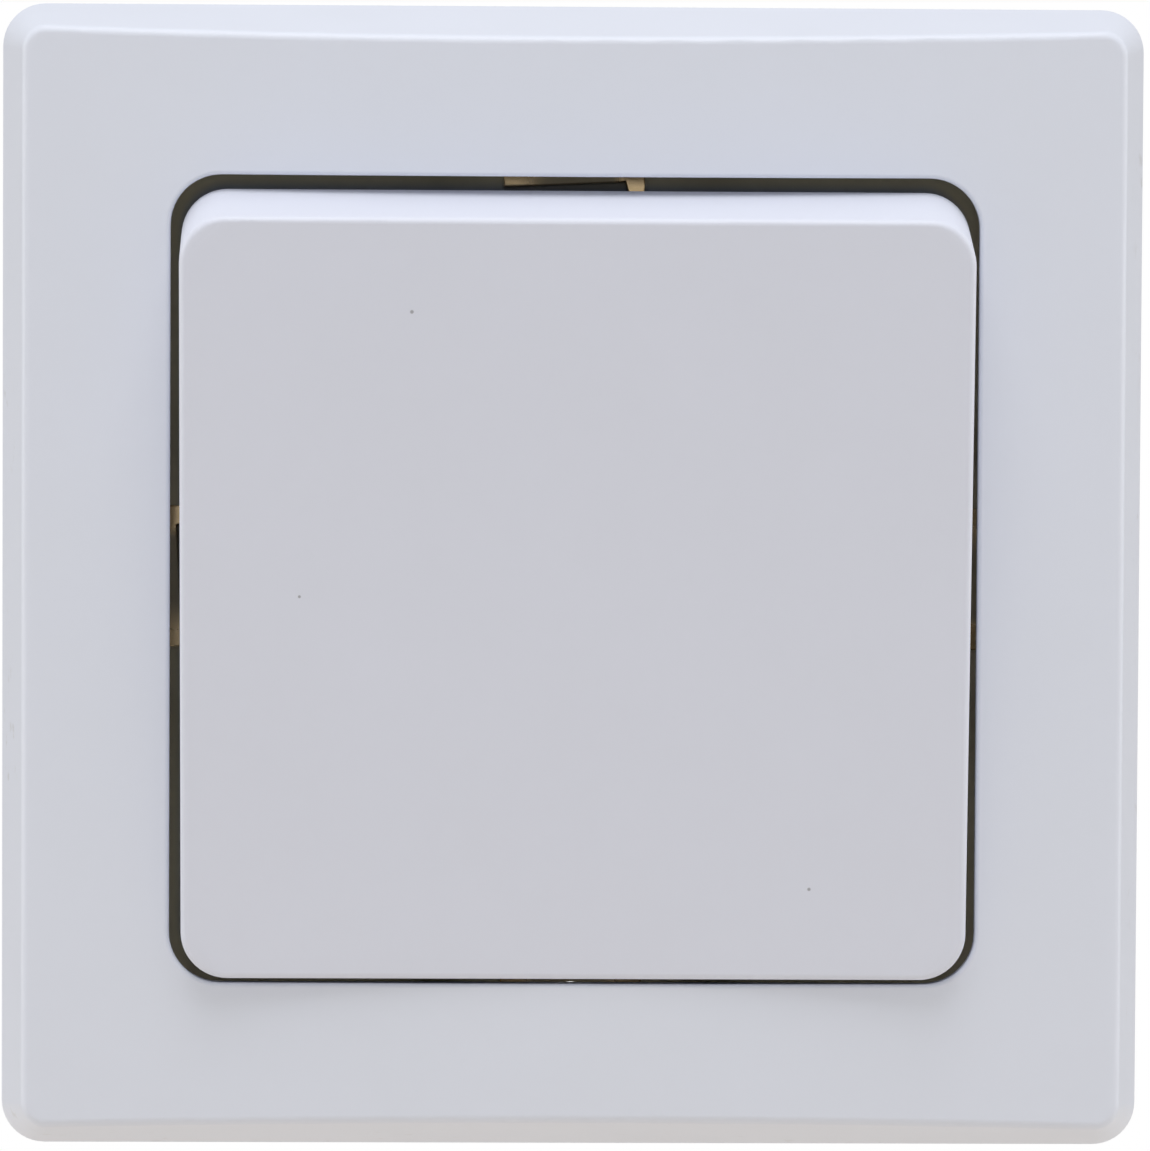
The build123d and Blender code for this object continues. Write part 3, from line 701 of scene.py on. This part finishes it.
def helix_group():
    """The node group, and the identifier of each of its inputs by name."""
    group = bpy.data.node_groups.new("swept_helix", "GeometryNodeTree")
    keys = {}
    for name, kind in HELIX_INPUTS.items():
        keys[name] = group.interface.new_socket(name, in_out="INPUT", socket_type=kind).identifier
    group.interface.new_socket("Mesh", in_out="OUTPUT", socket_type="NodeSocketGeometry")
    given = group.nodes.new("NodeGroupInput").outputs

    def step(kind, inputs, **settings):
        """One node of the group, and its first output."""
        made = group.nodes.new(kind)
        for name, value in settings.items():
            setattr(made, name, value)
        for name, value in inputs.items():
            if isinstance(value, bpy.types.NodeSocket):
                group.links.new(value, made.inputs[name])
            else:
                made.inputs[name].default_value = value
        return made.outputs[0]

    spiral = step("GeometryNodeCurveSpiral", {
        "Resolution": STEPS_PER_TURN, "Rotations": given["Turns"], "Height": given["Height"],
        "Start Radius": given["Radius"], "End Radius": given["Radius"],
    })
    upright = step("GeometryNodeSetCurveNormal", {"Curve": spiral}, mode="Z_UP")
    ring = step("GeometryNodeCurvePrimitiveCircle", {
        "Resolution": given["Section Points"], "Radius": 1.0,
    })
    section = step("GeometryNodeTransform", {"Geometry": ring, "Scale": given["Section"]})
    sweep = step("GeometryNodeCurveToMesh", {
        "Curve": upright, "Profile Curve": section, "Fill Caps": True,
    })
    core = step("GeometryNodeMeshCylinder", {
        "Vertices": CORE_SIDES, "Radius": given["Core Radius"], "Depth": given["Height"],
    })
    half = step("ShaderNodeMath", {0: given["Height"], 1: 0.5}, operation="MULTIPLY")
    lift = step("ShaderNodeCombineXYZ", {"Z": half})
    raised = step("GeometryNodeTransform", {"Geometry": core, "Translation": lift})
    both = group.nodes.new("GeometryNodeJoinGeometry")
    group.links.new(sweep, both.inputs[0])
    group.links.new(raised, both.inputs[0])
    placed = step("GeometryNodeTransform", {
        "Geometry": both.outputs[0], "Translation": given["Place"], "Rotation": given["Turn"],
    })
    real = step("GeometryNodeRealizeInstances", {"Geometry": placed})
    done = step("GeometryNodeSetMaterial", {"Geometry": real, "Material": given["Material"]})
    group.links.new(done, group.nodes.new("NodeGroupOutput").inputs[0])
    return group, keys


HELIX, HELIX_KEYS = helix_group()


def helix_piece(name, values):
    """A plain mesh piece made by the group from the given values."""
    piece = bpy.data.objects.new(name, bpy.data.meshes.new(name))
    scene.collection.objects.link(piece)
    maker = piece.modifiers.new("helix", "NODES")
    maker.node_group = HELIX
    for label, value in values.items():
        maker[HELIX_KEYS[label]] = value
    with editing(baked(piece).data) as work:
        smooth(work)
    piece.data.set_sharp_from_angle(angle=SHARP)
    return piece


print("helix group with", len(HELIX_KEYS), "inputs")

# %% [markdown]
# ## Claw screws
# The claw screws are ordinary slotted machine screws with a half-millimetre pitch. A thread in the
# solid would weigh down the pack, so the solid has a plain shank. The head is cut from the solid's
# copy, and the threaded shank behind it comes from the helix group.

# %% Finish the claw screws
PLATE_FRONT = -1.2 * MM
SCREW_PITCH = 0.5 * MM
SCREW_ROOT = 1.2 * MM
SCREW_CREST = 1.5 * MM
HEAD_EASE = 0.12
# The thread's section is a diamond, and its last half turn is left off
THREAD_HALF_WIDTH = 0.22 * MM
THREAD_POINTS = 4
THREAD_RUN_OUT = 0.5
BEHIND = (-pi / 2, 0, 0)


def joined(first, second):
    """The first piece with the second one's mesh added to it."""
    with editing(first.data) as work:
        work.from_mesh(second.data)
    bpy.data.objects.remove(second)
    return first


def screw_head(node):
    """What lies in front of the plate of a screw's skin, with eased edges."""
    head = skin_of(node, node + ".skin")
    with editing(head.data) as work:
        everything = work.verts[:] + work.edges[:] + work.faces[:]
        bmesh.ops.bisect_plane(work, geom=everything, plane_co=(0, PLATE_FRONT, 0),
                               plane_no=(0, 1, 0), clear_outer=True)
    ease_edges(head, HEAD_EASE)
    return head


def claw_screw(hand):
    """A slotted head with a threaded shank."""
    node = "claw_screw_" + hand
    low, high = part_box(node)
    middle = (low + high) / 2
    length = high.y - PLATE_FRONT
    head = screw_head(node)
    shank = helix_piece(node + ".shank", {
        "Turns": length / SCREW_PITCH - THREAD_RUN_OUT, "Height": length, "Radius": SCREW_ROOT,
        "Section": (SCREW_CREST - SCREW_ROOT, THREAD_HALF_WIDTH, 1.0),
        "Section Points": THREAD_POINTS, "Core Radius": SCREW_ROOT,
        "Place": (middle.x, PLATE_FRONT, middle.z), "Turn": BEHIND, "Material": ZINC,
    })
    return dressed(joined(head, shank), node, ZINC)


for hand in HANDS:
    screw = claw_screw(hand)
    print(screw.name, len(screw.data.polygons), "faces")

# %% [markdown]
# ## Plunger springs
# Each plunger sits under a coil of round wire in its sleeve. The helix group winds it on the
# plunger's own line, which leans with the rocker. A coil could be simulated, but all that shows is
# that it shortens towards the sleeve's roof when the plunger is pushed in. Here it is wound at the
# length of the plain spring and is not shortened.

# %% Wind the plunger springs
WIRE = 0.45 * MM
WIRE_POINTS = 10
COIL_RADIUS = 1.45 * MM
COILS = 6.0


def plunger_spring(hand):
    """A round-wire coil in place of the plain one."""
    node = "plunger_spring_" + hand
    joint = joint_of["plunger_%s_slide" % hand]
    inward = Vector(joint["axis"]).normalized()
    reach = [vertex.co.dot(inward) for vertex in nodes[node].data.vertices]
    low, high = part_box(node)
    middle = (low + high) / 2
    foot = middle + inward * (min(reach) - middle.dot(inward) + WIRE / 2)
    height = max(reach) - min(reach) - WIRE
    turn = Vector((0, 0, 1)).rotation_difference(inward).to_euler()
    coil = helix_piece(node + ".coil", {
        "Turns": COILS, "Height": height, "Radius": COIL_RADIUS,
        "Section": (WIRE / 2, WIRE / 2, 1.0), "Section Points": WIRE_POINTS,
        "Core Radius": 0.0, "Place": foot, "Turn": turn, "Material": SPRING,
    })
    dressed(coil, node, SPRING)
    keep = 1 - joint["range_m"][1] / (height + WIRE)
    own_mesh(coil)
    return coil


for hand in HANDS:
    coil = plunger_spring(hand)
    print(coil.name, len(coil.data.polygons), "faces")

# %% [markdown]
# ## Clamp springs
# A clamp spring is a bent strip: its back leans on the insert's wall and its leg grips the wire.
# When the release button is pressed, its nose bends the leg. Bones or a blend could bend the strip,
# but here the skin is only finished in place and rides on no body.

# %% Finish the clamp springs
CLAMP_EASE = 0.05
BACK_INSET = 0.6 * MM

for number in TERMINALS:
    node = "clamp_spring_%d" % number
    clamp = finished(node, SPRING, CLAMP_EASE, rides=False)
    low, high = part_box(node)
    button_low, button_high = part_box("release_button_%d" % number)
    outward = 1 if low.z > 0 else -1
    back = max(abs(low.z), abs(high.z)) - BACK_INSET
    nose = abs(button_low.z + button_high.z) / 2
    middle = (low + high) / 2
    start = (middle.x, middle.y, outward * back)
    end = (middle.x, middle.y, outward * nose)
    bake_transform(clamp)
    print(clamp.name, len(clamp.data.polygons), "faces")

# %% [markdown]
# ## Floor
# The lower bevels have a warm cast in the photograph, so a pale, slightly warm floor lights what
# faces down. A square floor would show its corners from above, so it is a disc. The switch hangs
# clear of it, as it does on a wall.

# %% Lay the floor
FLOOR_RADIUS = 0.5
FLOOR_DROP = 0.08
FLOOR_SIDES = 96
FLOOR_TONES = colour(232, 225, 216), colour(229, 222, 212)
FLOOR_CLOUDS = 12

low_corner = cad_box[0]
floor_level = low_corner[2] - FLOOR_DROP
floor_mesh = bpy.data.meshes.new("floor")
with editing(floor_mesh) as disc:
    bmesh.ops.create_circle(disc, cap_ends=True, segments=FLOOR_SIDES, radius=FLOOR_RADIUS,
                            matrix=Matrix.Translation((0, 0, floor_level)))
floor = bpy.data.objects.new("floor", floor_mesh)
scene.collection.objects.link(floor)
floor_finish = Finish("pale_floor")
paper = floor_finish.noise(FLOOR_CLOUDS, detail=3)
floor_finish.set({
    "Base Color": floor_finish.mix(paper, *FLOOR_TONES),
    "Roughness": 0.75 + 0.1 * paper,
})
paint(floor, floor_finish.material)
print("floor at", round(floor_level, 4), "m")

# %% [markdown]
# ## Light
# A switch like this is photographed in a light tent: white all round, but dimmer in front, where
# the camera looks in, and much dimmer behind. A picture of a real tent could light the scene, but
# two numbers in the world say the same. A broad panel above the camera brings the bright upper
# bevels, and two weak ones light the sides. The camera itself sees plain white.

# %% World and panels
AMBIENT = 0.68
FRONT_DIM = 0.20
BACK_DIM = 0.60
WHITE = (1, 1, 1, 1)
# Place, size in metres, watts and tint
PANELS = {
    "panel_above": ((0.0, -0.21, 0.67), 0.5, 2.62, (0.98, 0.99, 1.03)),
    "panel_left": ((-0.60, 0.03, 0.08), 0.4, 0.76, (1.0, 1.0, 1.0)),
    "panel_right": ((0.60, 0.03, 0.08), 0.4, 0.76, (1.0, 1.0, 1.0)),
}
MIDDLE = Vector((0, 0, 0))

scene.view_settings.view_transform = "Standard"
world = bpy.data.worlds.new("light_tent")
world.use_nodes = True
scene.world = world
tent = Graph(world.node_tree, "Generated")
seen = tent.node("Background", inputs={"Color": WHITE, "Strength": 1.0})
dimmed = FRONT_DIM * (0.0 - tent.y).most(0.0) + BACK_DIM * tent.y.most(0.0)
glow = tent.node("Background", inputs={"Color": WHITE, "Strength": AMBIENT * (1 - dimmed)})
camera_ray = tent.node("LightPath", output="Is Camera Ray")
shown = tent.node("MixShader", inputs={0: camera_ray, 1: glow, 2: seen})
tent.feed(world.node_tree.nodes["World Output"].inputs["Surface"], shown)

for name, (place, size, watts, tint) in PANELS.items():
    light = bpy.data.lights.new(name, "AREA")
    light.size = size
    light.energy = watts
    light.color = tint
    panel = bpy.data.objects.new(name, light)
    panel.location = place
    panel.rotation_euler = (MIDDLE - Vector(place)).to_track_quat("-Z", "Y").to_euler()
    scene.collection.objects.link(panel)
print("light tent with", len(PANELS), "panels")
